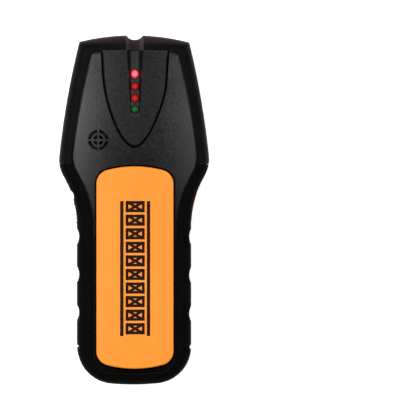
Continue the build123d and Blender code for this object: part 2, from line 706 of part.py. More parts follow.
with BuildPart() as power_button:
    with BuildSketch(Plane.XY.offset(CONTROL_Z - BUTTON_HEIGHT)):
        add(offset(outer_plan, amount=BUTTON_PROUD, kind=Kind.INTERSECTION))
    extrude(amount=2 * BUTTON_HEIGHT)
    with BuildSketch(Plane.YZ.offset(FLANGE_OUTER_X - SLIDE_FIT)):
        with Locations((BUTTON_Y, CONTROL_Z)):
            SlotOverall(BUTTON_LENGTH, BUTTON_HEIGHT)
    extrude(amount=WINDOW_REACH, mode=Mode.INTERSECT)
    fillet(power_button.faces().sort_by(Axis.X)[-1].edges(), BUTTON_EDGE_R)
    with BuildSketch(Plane.YZ.offset(FLANGE_INNER_X)):
        with Locations((BUTTON_Y, CONTROL_Z)):
            SlotOverall(BUTTON_LENGTH + 2 * FLANGE_LIP, BUTTON_HEIGHT + 2 * FLANGE_LIP)
    extrude(amount=FLANGE_OUTER_X - FLANGE_INNER_X)
save("power_button", power_button.part)

with BuildPart() as power_switch_body:
    with Locations((SWITCH_X, BUTTON_Y, BOARD_TOP_Z)):
        Box(*PUSH_SWITCH, align=(Align.CENTER, Align.CENTER, Align.MIN))
    with BuildSketch(Plane.YZ.offset(SWITCH_X)):
        with Locations((BUTTON_Y, CONTROL_Z)):
            Circle(PLUNGER_R + PLUNGER_FIT)
    extrude(amount=PUSH_SWITCH[0], mode=Mode.SUBTRACT)
save("power_switch_body", power_switch_body.part)

with BuildPart() as power_switch_plunger:
    with BuildSketch(Plane.YZ.offset(SWITCH_X + BUTTON_TRAVEL + SLIDE_FIT)):
        with Locations((BUTTON_Y, CONTROL_Z)):
            Circle(PLUNGER_R)
    extrude(amount=FLANGE_INNER_X - SWITCH_X - BUTTON_TRAVEL - SLIDE_FIT)
save("power_switch_plunger", power_switch_plunger.part)

with BuildPart() as mode_slider:
    with BuildSketch(Plane.XY.offset(CONTROL_Z - SLIDER_HEIGHT)):
        with Locations((-GRIP_HALF, SLIDER_Y)):
            Rectangle(2 * (GRIP_HALF - FLANGE_OUTER_X + SLIDE_FIT), SLIDER_KNOB)
    extrude(amount=2 * SLIDER_HEIGHT)
    with BuildSketch(Plane.XY.offset(CONTROL_Z - SLIDER_HEIGHT)):
        add(offset(outer_plan, amount=SLIDER_PROUD, kind=Kind.INTERSECTION))
    extrude(amount=2 * SLIDER_HEIGHT, mode=Mode.INTERSECT)
    with BuildSketch(Plane.YZ.offset(-FLANGE_OUTER_X + SLIDE_FIT)):
        with Locations((SLIDER_Y, CONTROL_Z)):
            RectangleRounded(SLIDER_KNOB, SLIDER_HEIGHT, KNOB_CORNER_R)
    extrude(amount=-WINDOW_REACH, mode=Mode.INTERSECT)
    # Finger grooves across the knob
    groove_x = -GRIP_HALF - SLIDER_PROUD - GROOVE_OUT
    with BuildSketch(Plane.XY.offset(CONTROL_Z - SLIDER_HEIGHT)):
        for groove in range(-2, 3):
            with Locations((groove_x, SLIDER_Y + groove * GROOVE_PITCH)):
                Circle(GROOVE_R)
    extrude(amount=2 * SLIDER_HEIGHT, mode=Mode.SUBTRACT)
    with BuildSketch(Plane.YZ.offset(-FLANGE_INNER_X)):
        with Locations((SLIDER_Y, CONTROL_Z)):
            Rectangle(SLIDER_WINDOW + 2 * SLIDER_TRAVEL + FLANGE_LIP, SLIDER_HEIGHT + 2 * FLANGE_LIP)
    extrude(amount=-(FLANGE_OUTER_X - FLANGE_INNER_X))
    with BuildSketch(Plane.YZ.offset(-FLANGE_OUTER_X)):
        with Locations((SLIDER_Y, CONTROL_Z)):
            Rectangle(LEVER_SIZE + SLIDE_FIT, LEVER_SIZE + SLIDE_FIT)
    extrude(amount=FLANGE_OUTER_X - SWITCH_X, mode=Mode.SUBTRACT)
save("mode_slider", mode_slider.part)

with BuildPart() as mode_switch_body:
    with Locations((-SWITCH_X + SLIDE_SWITCH_SHIFT, SLIDER_Y, BOARD_TOP_Z)):
        Box(*SLIDE_SWITCH, align=(Align.CENTER, Align.CENTER, Align.MIN))
    with Locations((-SWITCH_X - LEVER_SLOT_SHIFT, SLIDER_Y, CONTROL_Z)):
        Box(*LEVER_SLOT, mode=Mode.SUBTRACT)
save("mode_switch_body", mode_switch_body.part)

with BuildPart() as mode_switch_lever:
    lever_length = FLANGE_OUTER_X - SWITCH_X - SLIDE_FIT
    with Locations((-SWITCH_X - lever_length / 2, SLIDER_Y, CONTROL_Z)):
        Box(lever_length, LEVER_SIZE, LEVER_SIZE)
save("mode_switch_lever", mode_switch_lever.part)

# ---- Circuit board ----

board_plan = plan_outline(head=6.6, grip=7.0, top=7.0, bottom=7.0)

with BuildPart() as main_board:
    with BuildSketch(Plane.XY.offset(BOARD_Z)):
        add(board_plan)
        with Locations((0, (BOARD_LOW_Y + BOARD_HIGH_Y) / 2)):
            Rectangle(100, BOARD_HIGH_Y - BOARD_LOW_Y, mode=Mode.INTERSECT)
        with Locations(*[(side * (BOARD_NECK_HALF + 5), BOARD_NECK_TOP_Y - 15) for side in (-1, 1)]):
            Rectangle(10, 30, mode=Mode.SUBTRACT)
        with Locations(*SHELL_SCREWS[:2]):
            Circle(BOSS_R + 1.2, mode=Mode.SUBTRACT)
        with Locations(*BOARD_SCREWS):
            Circle(BOARD_SCREW_R + 0.1, mode=Mode.SUBTRACT)
    extrude(amount=BOARD_THICK)
save("main_board", main_board.part)

with BuildPart() as board_screws:
    for x, y in BOARD_SCREWS:
        with BuildSketch(Plane.XY.offset(BOARD_TOP_Z)):
            with Locations((x, y)):
                Circle(SMALL_HEAD_R)
        extrude(amount=SMALL_HEAD_HEIGHT)
        with BuildSketch(Plane.XY.offset(BOARD_Z - SMALL_SCREW_REACH)):
            with Locations((x, y)):
                Circle(BOARD_SCREW_R)
        extrude(amount=BOARD_THICK + SMALL_SCREW_REACH)
    fillet(board_screws.faces().group_by(Axis.Z)[-1].edges(), 0.5)
    cross_length, cross_width, cross_depth = SMALL_CROSS
    with BuildSketch(Plane.XY.offset(BOARD_TOP_Z + SMALL_HEAD_HEIGHT - cross_depth)):
        with Locations(*BOARD_SCREWS):
            Rectangle(cross_length, cross_width)
            Rectangle(cross_width, cross_length)
    extrude(amount=cross_depth, mode=Mode.SUBTRACT)
save("board_screws", board_screws.part)


def board_block(name, places, size, radius=0.0):
    """Box-shaped components standing on the board."""
    with BuildPart() as block:
        with BuildSketch(Plane.XY.offset(BOARD_TOP_Z)):
            with Locations(*places):
                Rectangle(size[0], size[1])
        extrude(amount=size[2])
        if radius:
            fillet(block.edges().filter_by(Axis.Z), radius)
    save(name, block.part)


def gull_wing_chip(name, x, y, length, width, pins):
    """Chip with a row of bent pins along each long side, as one solid."""
    with BuildPart() as chip:
        with Locations((x, y, BOARD_TOP_Z + CHIP_STAND)):
            Box(width, length, CHIP_BODY, align=(Align.CENTER, Align.CENTER, Align.MIN))
        chamfer(chip.faces().sort_by(Axis.Z)[-1].edges(), 0.2)
        dot_z = BOARD_TOP_Z + CHIP_STAND + CHIP_BODY
        with Locations((x - width / 2 + 1, y + length / 2 - 1, dot_z)):
            Cylinder(CHIP_DOT_R, 0.3, mode=Mode.SUBTRACT)
        for side in (-1, 1):
            with Locations((x + side * (width / 2 + 0.5), y, BOARD_TOP_Z)):
                with GridLocations(1, CHIP_PITCH, 1, pins):
                    Box(*CHIP_PIN, align=(Align.CENTER, Align.CENTER, Align.MIN))
    save(name, chip.part)


gull_wing_chip("controller_chip", 11.5, 20.0, 11.5, 7.5, 8)
gull_wing_chip("amplifier_chip", 15.5, 40.0, 5.5, 4.0, 4)
board_block("board_chips", CHIP_PLACES, (2.0, 1.25, 0.6))
board_block("calibration_trimmer", [TRIMMER_PLACE], TRIMMER_SIZE, 0.5)
board_block("crystal", [CRYSTAL_PLACE], CRYSTAL_SIZE, CRYSTAL_SIZE[1] / 2 - 0.1)

with BuildPart() as trimmer_rotor:
    rotor_foot_z = BOARD_TOP_Z + TRIMMER_SIZE[2]
    with Locations((*TRIMMER_PLACE, rotor_foot_z)):
        Cylinder(ROTOR_R, ROTOR_HEIGHT, align=(Align.CENTER, Align.CENTER, Align.MIN))
    with Locations((*TRIMMER_PLACE, rotor_foot_z + ROTOR_HEIGHT)):
        Box(*ROTOR_SLOT, align=(Align.CENTER, Align.CENTER, Align.MAX), mode=Mode.SUBTRACT)
save("trimmer_rotor", trimmer_rotor.part)

with BuildPart() as electrolytic_capacitors:
    with BuildSketch(Plane.XY.offset(BOARD_TOP_Z)):
        with Locations(*CAPACITOR_PLACES):
            Circle(CAPACITOR_R)
    extrude(amount=CAPACITOR_HEIGHT)
    fillet(electrolytic_capacitors.faces().group_by(Axis.Z)[-1].edges(), 0.4)
save("electrolytic_capacitors", electrolytic_capacitors.part)

# ---- Sounder ----

with BuildPart() as buzzer:
    with BuildSketch(Plane.XY.offset(BOARD_TOP_Z)):
        with Locations((GRILLE_X, GRILLE_Y)):
            Circle(BUZZER_R)
    extrude(amount=BUZZER_HEIGHT)
    fillet(buzzer.faces().sort_by(Axis.Z)[-1].edges(), 0.4)
    with BuildSketch(Plane.XY.offset(BOARD_TOP_Z + BUZZER_HEIGHT - 1)):
        with Locations((GRILLE_X, GRILLE_Y)):
            Circle(BUZZER_PORT_R)
    extrude(amount=2, mode=Mode.SUBTRACT)
save("buzzer", buzzer.part)

with BuildPart() as buzzer_gasket:
    with BuildSketch(Plane.XY.offset(BOARD_TOP_Z + BUZZER_HEIGHT)):
        with Locations((GRILLE_X, GRILLE_Y)):
            Circle(GASKET_OUTER_R)
            Circle(GASKET_INNER_R, mode=Mode.SUBTRACT)
    extrude(amount=CEILING_Z - MESH_THICK - BOARD_TOP_Z - BUZZER_HEIGHT)
save("buzzer_gasket", buzzer_gasket.part)

with BuildPart() as grille_mesh:
    with BuildSketch(Plane.XY.offset(CEILING_Z - MESH_THICK)):
        with Locations((GRILLE_X, GRILLE_Y)):
            Circle(MESH_R)
    extrude(amount=MESH_THICK)
save("grille_mesh", grille_mesh.part)

# ---- Sensors behind the board ----

with BuildPart() as sensor_plates:
    with BuildSketch(Plane.XY.offset(REAR_SKIN)):
        with Locations(*[(side * SENSOR_X, SENSOR_Y) for side in (-1, 1)]):
            RectangleRounded(SENSOR_SIZE[0], SENSOR_SIZE[1], SENSOR_CORNER_R)
    extrude(amount=SENSOR_SIZE[2])
save("sensor_plates", sensor_plates.part)

with BuildPart() as coil_bobbin:
    with BuildSketch(Plane.XZ.offset(-COIL_Y)):
        with BuildLine():
            Polyline(
                (COIL_INNER_R - COIL_TUBE, REAR_SKIN),
                (COIL_OUTER_R, REAR_SKIN),
                (COIL_OUTER_R, REAR_SKIN + COIL_FLANGE),
                (COIL_INNER_R, REAR_SKIN + COIL_FLANGE),
                (COIL_INNER_R, COIL_TOP_Z - COIL_FLANGE),
                (COIL_OUTER_R, COIL_TOP_Z - COIL_FLANGE),
                (COIL_OUTER_R, COIL_TOP_Z),
                (COIL_INNER_R - COIL_TUBE, COIL_TOP_Z),
                close=True,
            )
        make_face()
    revolve(axis=Axis((0, COIL_Y, 0), (0, 0, 1)))
save("coil_bobbin", coil_bobbin.part)

with BuildPart() as coil_winding:
    with BuildSketch(Plane.XY.offset(REAR_SKIN + COIL_FLANGE)):
        with Locations((0, COIL_Y)):
            Circle(COIL_OUTER_R - COIL_MARGIN)
            Circle(COIL_INNER_R, mode=Mode.SUBTRACT)
    extrude(amount=COIL_TOP_Z - REAR_SKIN - 2 * COIL_FLANGE)
save("coil_winding", coil_winding.part)

# ---- Battery, its connector and leads ----

battery_top_y = BATTERY_LOW_Y + BATTERY_BODY
battery_mid_z = BATTERY_Z + BATTERY_THICK / 2

with BuildPart() as battery:
    with BuildSketch(Plane.XZ.offset(-BATTERY_LOW_Y)):
        with Locations((0, battery_mid_z)):
            RectangleRounded(2 * BATTERY_HALF, BATTERY_THICK, BATTERY_CORNER_R)
    extrude(amount=-BATTERY_BODY)
    for end in (0, -1):
        fillet(battery.faces().sort_by(Axis.Y)[end].edges(), BATTERY_EDGE_R)
save("battery", battery.part)

with BuildPart() as battery_terminals:
    with BuildSketch(Plane.XZ.offset(-battery_top_y)):
        with Locations((-TERMINAL_X, battery_mid_z)):
            Circle(TERMINAL_STUD_R)
        with Locations((TERMINAL_X, battery_mid_z)):
            RegularPolygon(TERMINAL_CUP_R, 6)
            Circle(TERMINAL_BORE_R, mode=Mode.SUBTRACT)
    extrude(amount=-TERMINAL_HEIGHT)
save("battery_terminals", battery_terminals.part)

with BuildPart() as snap_contacts:
    with BuildSketch(Plane.XZ.offset(-battery_top_y)):
        with Locations((TERMINAL_X, battery_mid_z)):
            Circle(TERMINAL_STUD_R)
        with Locations((-TERMINAL_X, battery_mid_z)):
            RegularPolygon(TERMINAL_CUP_R, 6)
            Circle(TERMINAL_BORE_R, mode=Mode.SUBTRACT)
    extrude(amount=-TERMINAL_HEIGHT)
save("snap_contacts", snap_contacts.part)

with BuildPart() as battery_snap:
    with BuildSketch(Plane.XZ.offset(-battery_top_y - TERMINAL_HEIGHT)):
        with Locations((0, battery_mid_z)):
            RectangleRounded(SNAP_WIDTH, SNAP_HEIGHT, SNAP_CORNER_R)
    extrude(amount=-SNAP_THICK)
    fillet(battery_snap.faces().sort_by(Axis.Y)[-1].edges(), 0.8)
save("battery_snap", battery_snap.part)

snap_top_y = battery_top_y + TERMINAL_HEIGHT + SNAP_THICK
for side, lead_name in ((1, "battery_lead_red"), (-1, "battery_lead_black")):
    lead_z = battery_mid_z + side * LEAD_SIDE_Z
    with BuildPart() as battery_lead:
        with BuildLine() as lead_path:
            FilletPolyline(
                (side * LEAD_START_X, snap_top_y, lead_z),
                (side * LEAD_START_X, snap_top_y + LEAD_RUN, lead_z),
                (side * LEAD_END_X, snap_top_y + 2 * LEAD_RUN, BOARD_TOP_Z + LEAD_ARCH),
                (side * LEAD_END_X, snap_top_y + 2 * LEAD_RUN, BOARD_TOP_Z),
                radius=LEAD_BENDS,
            )
        with BuildSketch(Plane(lead_path.line @ 0, z_dir=lead_path.line % 0)):
            Circle(LEAD_WIRE_R)
        sweep()
    save(lead_name, battery_lead.part)

# ---- Battery door ----

with BuildPart() as battery_door:
    with BuildSketch(Plane.YZ.offset(-DOOR_HALF)):
        with BuildLine():
            Line((DOOR_HINGE_Y, 0), (DOOR_END_Y, 0))
            Line((DOOR_END_Y, 0), (DOOR_END_Y, REAR_SKIN))
            Line((DOOR_END_Y, REAR_SKIN), (DOOR_HINGE_Y, REAR_SKIN))
            ThreePointArc(
                (DOOR_HINGE_Y, REAR_SKIN),
                (DOOR_NOSE_Y, DOOR_HINGE_Z),
                (DOOR_HINGE_Y, 0),
            )
        make_face()
    extrude(amount=2 * DOOR_HALF)
    # Finger grip: three shallow grooves near the free end
    with BuildSketch():
        for row in range(3):
            with Locations((0, DOOR_END_Y + DOOR_GRIP_START + DOOR_GRIP_PITCH * row)):
                SlotOverall(DOOR_GRIP_SLOT[0], DOOR_GRIP_SLOT[1])
    extrude(amount=DOOR_GRIP_SLOT[2], mode=Mode.SUBTRACT)
    # Two hooks that reach under the casing at the hinge end
    for x in HOOK_XS:
        with BuildSketch(Plane.YZ.offset(x - HOOK_WIDTH / 2)):
            with BuildLine():
                Polyline(
                    (DOOR_HINGE_Y - HOOK_ROOT, REAR_SKIN),
                    (DOOR_HINGE_Y - HOOK_ROOT, REAR_SKIN + HOOK_TOP),
                    (DOOR_HINGE_Y + HOOK_REACH, REAR_SKIN + HOOK_TOP),
                    (DOOR_HINGE_Y + HOOK_REACH, REAR_SKIN + HOOK_CLEAR),
                    (DOOR_HINGE_Y, REAR_SKIN + HOOK_CLEAR),
                    (DOOR_HINGE_Y, REAR_SKIN),
                    close=True,
                )
            make_face()
        extrude(amount=HOOK_WIDTH)
save("battery_door", battery_door.part)

with BuildPart() as door_foam:
    with BuildSketch(Plane.XY.offset(REAR_SKIN)):
        with Locations((0, BATTERY_LOW_Y + BATTERY_BODY / 2)):
            RectangleRounded(FOAM_SIZE[0], FOAM_SIZE[1], FOAM_CORNER_R)
    extrude(amount=BATTERY_Z - REAR_SKIN - 0.05)
save("door_foam", door_foam.part)

# ---- Casing screws ----

with BuildPart() as shell_screws:
    for x, y in SHELL_SCREWS:
        with BuildSketch(Plane.XY.offset(SCREW_HEAD_Z - SCREW_HEAD_HEIGHT)):
            with Locations((x, y)):
                Circle(SCREW_HEAD_R)
        extrude(amount=SCREW_HEAD_HEIGHT)
        with BuildSketch(Plane.XY.offset(SCREW_HEAD_Z)):
            with Locations((x, y)):
                Circle(SCREW_R)
        extrude(amount=SCREW_TIP_Z - SCREW_HEAD_Z)
    cross_length, cross_width, cross_depth = SCREW_CROSS
    with BuildSketch(Plane.XY.offset(SCREW_HEAD_Z - SCREW_HEAD_HEIGHT)):
        with Locations(*SHELL_SCREWS):
            Rectangle(cross_length, cross_width)
            Rectangle(cross_width, cross_length)
    extrude(amount=cross_depth, mode=Mode.SUBTRACT)
save("shell_screws", shell_screws.part)
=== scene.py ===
import bpy
import math
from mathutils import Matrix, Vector


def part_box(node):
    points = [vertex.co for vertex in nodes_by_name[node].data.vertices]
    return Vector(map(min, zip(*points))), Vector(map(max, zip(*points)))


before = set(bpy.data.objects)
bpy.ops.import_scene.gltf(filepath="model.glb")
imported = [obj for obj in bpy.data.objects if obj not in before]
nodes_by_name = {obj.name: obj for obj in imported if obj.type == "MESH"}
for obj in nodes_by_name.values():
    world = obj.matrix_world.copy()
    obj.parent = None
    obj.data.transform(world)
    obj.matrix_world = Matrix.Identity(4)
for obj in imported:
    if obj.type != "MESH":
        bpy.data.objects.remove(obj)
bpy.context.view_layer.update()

# Everything is in metres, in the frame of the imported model: +Z out of the front face,
# +Y towards the head, +X to the right.
MM = 0.001


# ---- Node helpers ----

class Shader:
    """A material being built: its node tree, its Principled shader and object coordinates."""

    def __init__(self, name, specular=0.5):
        self.material = bpy.data.materials.new(name)
        self.material.use_nodes = True
        self.tree = self.material.node_tree
        self.bsdf = self.tree.nodes["Principled BSDF"]
        self.bsdf.inputs["Specular IOR Level"].default_value = specular
        self.coords = self.add("ShaderNodeTexCoord").outputs["Object"]

    def add(self, kind, **settings):
        node = self.tree.nodes.new(kind)
        for key, value in settings.items():
            setattr(node, key, value)
        return node

    def link(self, source, target):
        self.tree.links.new(source, target)

    def noise(self, size_mm, detail=2.0, roughness=0.5, stretch=(1, 1, 1)):
        """Noise with grains of about the given size."""
        mapping = self.add("ShaderNodeMapping")
        mapping.inputs["Scale"].default_value = stretch
        self.link(self.coords, mapping.inputs["Vector"])
        node = self.add("ShaderNodeTexNoise")
        node.inputs["Scale"].default_value = 1 / (size_mm * MM)
        node.inputs["Detail"].default_value = detail
        node.inputs["Roughness"].default_value = roughness
        self.link(mapping.outputs["Vector"], node.inputs["Vector"])
        return node.outputs["Fac"]

    def cells(self, size_mm):
        """Rounded cells of about the given size: the distance to each cell's middle."""
        node = self.add("ShaderNodeTexVoronoi")
        node.inputs["Scale"].default_value = 1 / (size_mm * MM)
        self.link(self.coords, node.inputs["Vector"])
        return node.outputs["Distance"]

    def ramp(self, value, stops):
        """Colour or grey ramp from (position, colour) stops."""
        node = self.add("ShaderNodeValToRGB")
        elements = node.color_ramp.elements
        while len(elements) < len(stops):
            elements.new(0.5)
        for element, (position, colour) in zip(elements, stops):
            element.position = position
            element.color = (*colour, 1)
        self.link(value, node.inputs["Fac"])
        return node.outputs["Color"]

    def span(self, value, low, high, start=0.3, end=0.7):
        """Maps a value's start..end range to low..high."""
        node = self.add("ShaderNodeMapRange")
        node.inputs["From Min"].default_value = start
        node.inputs["From Max"].default_value = end
        node.inputs["To Min"].default_value = low
        node.inputs["To Max"].default_value = high
        self.link(value, node.inputs["Value"])
        return node.outputs["Result"]

    def math(self, operation, a, b):
        """Arithmetic on two values, each a socket or a plain number."""
        node = self.add("ShaderNodeMath", operation=operation)
        for socket, value in zip(node.inputs, (a, b)):
            if isinstance(value, (int, float)):
                socket.default_value = value
            else:
                self.link(value, socket)
        return node.outputs["Value"]

    def along(self, axis):
        """Position along X, Y or Z in the object's frame, in metres."""
        node = self.add("ShaderNodeSeparateXYZ")
        self.link(self.coords, node.inputs["Vector"])
        return node.outputs[axis]

    def scaled(self, colour, factor):
        """Colour times a value."""
        node = self.add("ShaderNodeVectorMath", operation="SCALE")
        self.link(colour, node.inputs[0])
        self.link(factor, node.inputs["Scale"])
        return node.outputs["Vector"]

    def summed(self, colour_a, colour_b):
        """Two colours added."""
        node = self.add("ShaderNodeVectorMath", operation="ADD")
        self.link(colour_a, node.inputs[0])
        self.link(colour_b, node.inputs[1])
        return node.outputs["Vector"]

    def crown(self, half_width_mm):
        """Height that falls off as a parabola to each side of the middle line."""
        across = self.math("DIVIDE", self.along("X"), half_width_mm * MM)
        return self.math("SUBTRACT", 1, self.math("MULTIPLY", across, across))

    def bump(self, heights):
        """Chain of bumps from (height, depth in mm, strength) entries."""
        previous = None
        for height, depth_mm, strength in heights:
            node = self.add("ShaderNodeBump")
            node.inputs["Distance"].default_value = depth_mm * MM
            node.inputs["Strength"].default_value = strength
            self.link(height, node.inputs["Height"])
            if previous:
                self.link(previous, node.inputs["Normal"])
            previous = node.outputs["Normal"]
        self.link(previous, self.bsdf.inputs["Normal"])

    def colour(self, output):
        self.link(output, self.bsdf.inputs["Base Color"])

    def rough(self, output):
        self.link(output, self.bsdf.inputs["Roughness"])


def assign(material, *names):
    """Puts one material on the named CAD nodes."""
    for name in names:
        slots = nodes_by_name[name].data.materials
        slots.clear()
        slots.append(material)


# ---- Materials ----

BLACK = (0, 0, 0)
CROWN_MM = 1.05            # how far the front's shading bows over CROWN_HALF_MM to each side
CROWN_HALF_MM = 25
HANDLE_Y = -16 * MM        # the front grows darker from HEAD_Y down to HANDLE_Y
HEAD_Y = 46 * MM
RECESS_Z = 25.6 * MM       # the front carries painted shade from here down, darkest in its recesses
FRONT_FACE_Z = 26.0 * MM
CHANNEL_LOW_Y = 44.5 * MM  # the painted highlight along the lamp channel starts here
CHANNEL_REACH = 2.2 * MM   # half width that the painted rib highlight's ramp covers
NOTCH_REACH = 5 * MM       # half width that the marking notch's painted light covers
# the bumper's painted top-edge highlight spans these heights and depths
TOP_HIGHLIGHT_Y = (75.5 * MM, 77.5 * MM)
TOP_HIGHLIGHT_Z = (14 * MM, 24 * MM)
LAMP_REACH = 2.2 * MM      # from the die to past the dome's edge


def textured_plastic(name, dark, light, rough_low, rough_high, grain_mm):
    """Moulded plastic with a fine spark-eroded texture."""
    s = Shader(name, specular=0.28)
    grain = s.noise(grain_mm, detail=3, roughness=0.6)
    broad = s.noise(14, detail=2)
    mixed = s.math("ADD", s.math("MULTIPLY", grain, 0.75), s.math("MULTIPLY", broad, 0.25))
    s.colour(s.ramp(mixed, [(0.38, dark), (0.62, light)]))
    s.rough(s.span(mixed, rough_low, rough_high))
    s.bump([(grain, 0.05, 0.5), (s.noise(grain_mm * 2.6, detail=1), 0.05, 0.25)])
    return s.material


def front_plastic(name):
    """Textured casing front, duller and darker down the handle, with painted shade in its recesses."""
    s = Shader(name)
    grain = s.noise(1.1, detail=3, roughness=0.6)
    broad = s.noise(14, detail=2)
    mixed = s.math("ADD", s.math("MULTIPLY", grain, 0.75), s.math("MULTIPLY", broad, 0.25))
    on_head = s.span(s.along("Y"), 0.15, 1.15, HANDLE_Y, HEAD_Y)
    # painted shade: the front's colour and shine darken toward the recess floors below RECESS_Z
    recess_painted_shade = s.span(s.along("Z"), 0.1, 1.0, RECESS_Z, FRONT_FACE_Z)
    tone_and_painted_shade = s.math("MULTIPLY", on_head, recess_painted_shade)
    tones = s.ramp(mixed, [(0.40, (0.0008, 0.0008, 0.0008)), (0.62, (0.0120, 0.0113, 0.0111))])
    s.colour(s.scaled(tones, tone_and_painted_shade))
    s.link(s.math("MULTIPLY", tone_and_painted_shade, 0.21), s.bsdf.inputs["Specular IOR Level"])
    s.rough(s.span(mixed, 0.29, 0.38))
    fine = s.noise(0.45, detail=2)
    s.bump([(s.crown(CROWN_HALF_MM), CROWN_MM, 1.0), (grain, 0.09, 0.5), (fine, 0.04, 0.3)])
    return s.material


def tongue_plastic(name):
    """Insert of the same texture, with a painted highlight along the lamp channel's ribs."""
    s = Shader(name, specular=0.20)
    grain = s.noise(1.0, detail=3, roughness=0.6)
    base = s.ramp(grain, [(0.36, (0.0025, 0.0025, 0.0027)), (0.66, (0.010, 0.0099, 0.0102))])
    across = s.span(s.math("ABSOLUTE", s.along("X"), 0), 0, 1, 0, CHANNEL_REACH)
    # painted highlight: paler bands along the channel's ribs, past CHANNEL_LOW_Y
    rib_highlight_tone = (0.034, 0.034, 0.036)
    ribs = s.ramp(across, [(0.32, BLACK), (0.44, rib_highlight_tone), (0.56, rib_highlight_tone), (0.68, BLACK)])
    channel = s.math("GREATER_THAN", s.along("Y"), CHANNEL_LOW_Y)
    s.colour(s.summed(base, s.scaled(ribs, channel)))
    s.rough(s.span(grain, 0.30, 0.40))
    fine = s.noise(0.45, detail=2)
    s.bump([(s.crown(CROWN_HALF_MM), CROWN_MM, 1.0), (grain, 0.07, 0.5), (fine, 0.04, 0.3)])
    return s.material


def bumper_plastic(name):
    """Smooth black band with a painted highlight along its top edge; the marking notch carries painted
    light, grey on its flanks.
    """
    s = Shader(name, specular=0.06)
    cloud = s.noise(9, detail=4, roughness=0.65)
    base = s.ramp(cloud, [(0.35, (0.0006, 0.0005, 0.0005)), (0.7, (0.0018, 0.0014, 0.0013))])
    across = s.span(s.math("ABSOLUTE", s.along("X"), 0), 0, 1, 0, NOTCH_REACH)
    # painted light on the marking notch: grey flanks and a dim middle
    middle = (0.014, 0.009, 0.008)
    flank_highlight = (0.040, 0.037, 0.037)
    notch = s.ramp(across, [(0.36, middle), (0.5, flank_highlight), (0.76, flank_highlight), (0.84, BLACK)])
    # painted highlight along the bumper's top edge, as if lit from above the head
    top_edge = s.span(s.along("Y"), 0, 1, *TOP_HIGHLIGHT_Y)
    front_edge = s.span(s.along("Z"), 0.1, 1, *TOP_HIGHLIGHT_Z)
    top_highlight_mask = s.math("MULTIPLY", top_edge, front_edge)
    painted_top_highlight = s.ramp(top_highlight_mask, [(0.0, BLACK), (1.0, (0.016, 0.010, 0.010))])
    s.colour(s.summed(base, s.summed(notch, painted_top_highlight)))
    s.rough(s.span(cloud, 0.56, 0.68))
    s.bsdf.inputs["Sheen Weight"].default_value = 0.10
    s.bsdf.inputs["Sheen Roughness"].default_value = 0.4
    s.bsdf.inputs["Sheen Tint"].default_value = (1.0, 0.82, 0.76, 1)
    s.bump([(s.noise(0.9, detail=2), 0.01, 0.3), (s.noise(6), 0.05, 0.15)])
    return s.material


def smooth_plastic(name, dark, light, rough_low, rough_high):
    """Satin plastic with faint handling marks."""
    s = Shader(name)
    cloud = s.noise(9, detail=4, roughness=0.65)
    marks = s.noise(0.5, detail=2, stretch=(1, 0.08, 1))
    s.colour(s.ramp(cloud, [(0.35, dark), (0.7, light)]))
    s.rough(s.math("ADD", s.span(cloud, rough_low, rough_high), s.span(marks, 0, 0.1, 0.5, 0.75)))
    s.bump([(s.noise(0.9, detail=2), 0.01, 0.3), (s.noise(6), 0.05, 0.15)])
    return s.material


def rubber(name):
    """Dull soft-touch rubber with a fine pebble grain."""
    s = Shader(name, specular=0.03)
    grain = s.cells(0.35)
    cloud = s.noise(11, detail=3)
    s.colour(s.ramp(cloud, [(0.3, (0.0010, 0.0009, 0.0009)), (0.7, (0.0022, 0.0020, 0.0019))]))
    s.rough(s.span(cloud, 0.66, 0.78))
    s.bump([(grain, 0.02, 0.25), (s.noise(1.5), 0.02, 0.2)])
    return s.material


def orange_plastic(name, tint):
    """Satin plastic with a slight drift of tone."""
    s = Shader(name, specular=0.25)
    cloud = s.noise(18, detail=3)
    light = [min(1, channel * 1.05) for channel in tint]
    dark = [channel * 0.94 for channel in tint]
    s.colour(s.ramp(cloud, [(0.3, dark), (0.7, light)]))
    s.rough(s.span(s.noise(2.5, detail=3), 0.36, 0.48))
    s.bump([(s.noise(0.35, detail=2), 0.02, 0.3), (s.noise(3.5), 0.03, 0.12)])
    return s.material


def ink(name):
    """Matt print, nearly black."""
    s = Shader(name, specular=0.08)
    grain = s.noise(0.5, detail=3, roughness=0.7)
    s.colour(s.ramp(grain, [(0.3, (0.008, 0.0022, 0.0012)), (0.75, (0.018, 0.005, 0.0026))]))
    s.rough(s.span(grain, 0.5, 0.7))
    s.bump([(grain, 0.01, 0.3)])
    return s.material


def lamp(name, node, body, core, strength):
    """Tinted epoxy dome. The die in its middle glows when the strength is above zero."""
    s = Shader(name, specular=0.15)
    low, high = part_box(node)
    centre = Vector(((low.x + high.x) / 2, (low.y + high.y) / 2, high.z))
    mapping = s.add("ShaderNodeMapping")
    mapping.inputs["Location"].default_value = -centre
    s.link(s.coords, mapping.inputs["Vector"])
    distance = s.add("ShaderNodeVectorMath", operation="LENGTH")
    s.link(mapping.outputs["Vector"], distance.inputs[0])
    cloud = s.noise(0.8, detail=2)
    reach = s.math("ADD", distance.outputs["Value"], s.span(cloud, -0.1 * MM, 0.1 * MM))
    from_die = s.span(reach, 0, 1, 0, LAMP_REACH)
    s.colour(s.ramp(from_die, [(0.0, core), (0.9, body)]))
    s.rough(s.span(cloud, 0.44, 0.56))
    if strength:
        glow = s.ramp(from_die, [(0.0, core), (0.55, body), (1.0, BLACK)])
        s.link(glow, s.bsdf.inputs["Emission Color"])
        s.bsdf.inputs["Emission Strength"].default_value = strength
    return s.material


def metal(name, tint, rough_low, rough_high):
    """Bare metal with faint clouding."""
    s = Shader(name)
    s.bsdf.inputs["Metallic"].default_value = 1.0
    cloud = s.noise(0.4, detail=3)
    dark = [channel * 0.8 for channel in tint]
    s.colour(s.ramp(cloud, [(0.3, dark), (0.7, tint)]))
    s.rough(s.span(cloud, rough_low, rough_high))
    s.bump([(cloud, 0.01, 0.2)])
    return s.material


